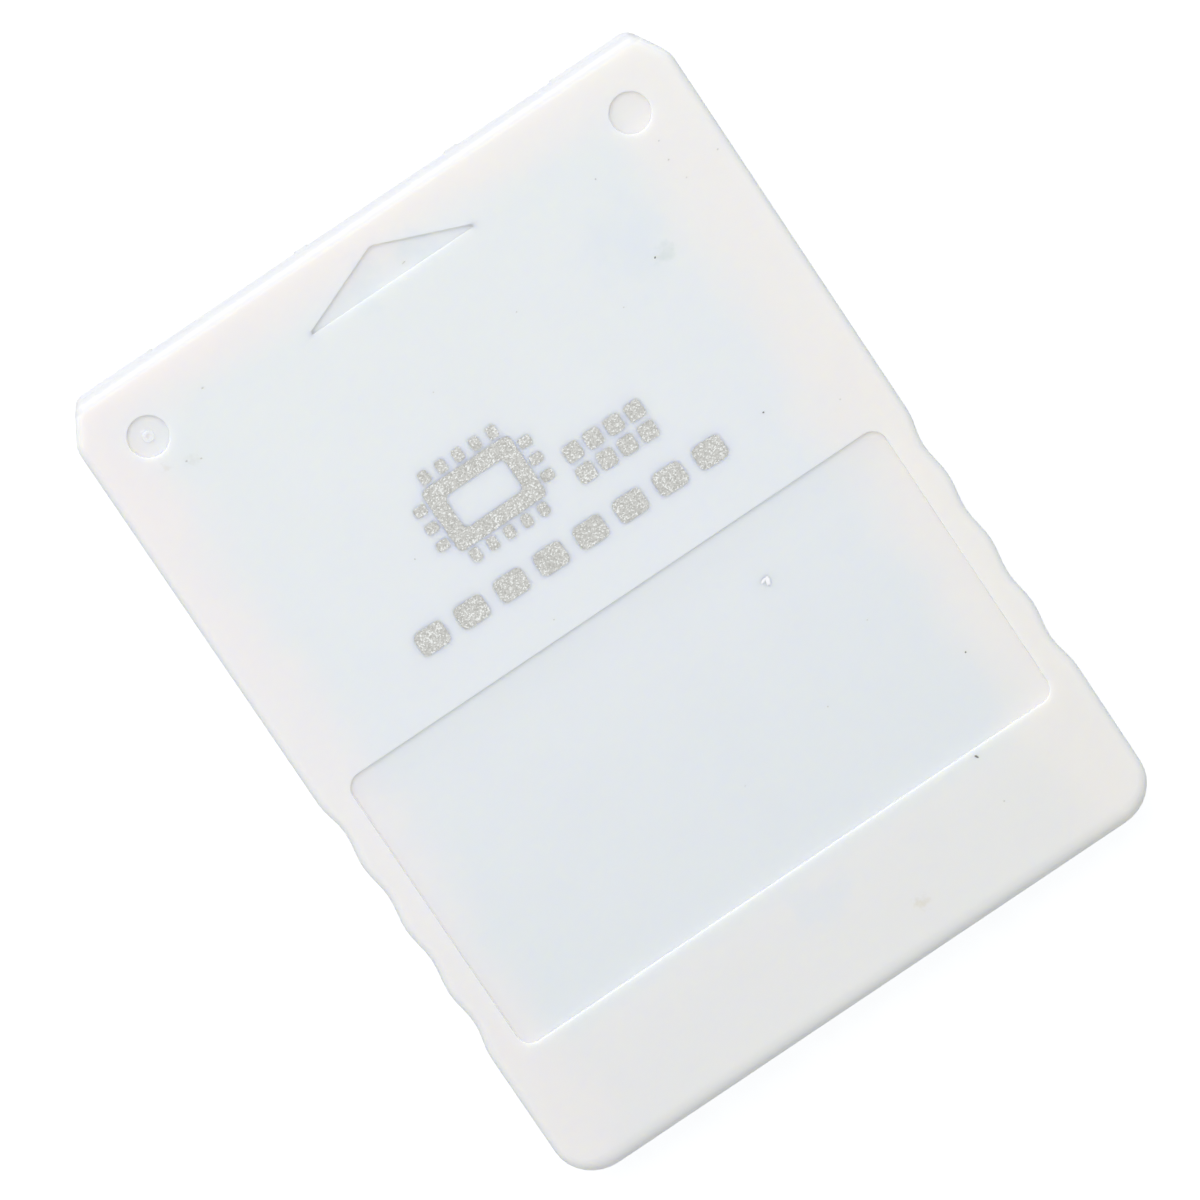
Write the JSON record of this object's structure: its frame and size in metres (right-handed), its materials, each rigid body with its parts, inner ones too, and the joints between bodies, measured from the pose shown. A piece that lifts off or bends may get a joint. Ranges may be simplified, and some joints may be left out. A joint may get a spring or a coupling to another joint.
{
  "type": "memory card",
  "caption": "Flat plug-in memory card with chamfered insertion end, wavy finger grips, label recess, arrow recess and a ribbed contact mouth underneath.",
  "frame": {"origin": "centre of the card's flat back face", "axes": "+X across the card's width, +Y along its length towards the insertion end, +Z out of the front face"},
  "size_m": [0.042, 0.0556, 0.0076],
  "materials": {
    "cover_plastic": "white translucent plastic, satin to gloss",
    "board": "green solder mask",
    "contact_gold": "gold plating, polished",
    "chip_resin": "moulded black resin, matt",
    "tinned_lead": "tin plating, satin",
    "white_ceramic": "fired ceramic, matt",
    "tan_ceramic": "fired ceramic with tinned ends",
    "silver_ink": "screen-printed silver glitter ink"
  },
  "bodies": {
    "root": {"front_cover": "cover_plastic", "rear_cover": "cover_plastic", "circuit_board": "board", "contact_pad_1": "contact_gold", "contact_pad_2": "contact_gold", "contact_pad_3": "contact_gold", "contact_pad_4": "contact_gold", "contact_pad_5": "contact_gold", "contact_pad_6": "contact_gold", "contact_pad_7": "contact_gold", "contact_pad_8": "contact_gold", "flash_chip_body": "chip_resin", "flash_chip_leads": "tinned_lead", "controller_chip_body": "chip_resin", "controller_chip_leads": "tinned_lead", "regulator_body": "chip_resin", "regulator_leads": "tinned_lead", "crystal_base": "white_ceramic", "crystal_lid": "tinned_lead", "capacitor_1": "tan_ceramic", "capacitor_2": "tan_ceramic", "capacitor_3": "tan_ceramic", "capacitor_4": "tan_ceramic", "capacitor_5": "tan_ceramic", "resistor_1": "chip_resin", "resistor_2": "chip_resin", "resistor_3": "chip_resin", "resistor_4": "chip_resin"}
  },
  "joints": []
}
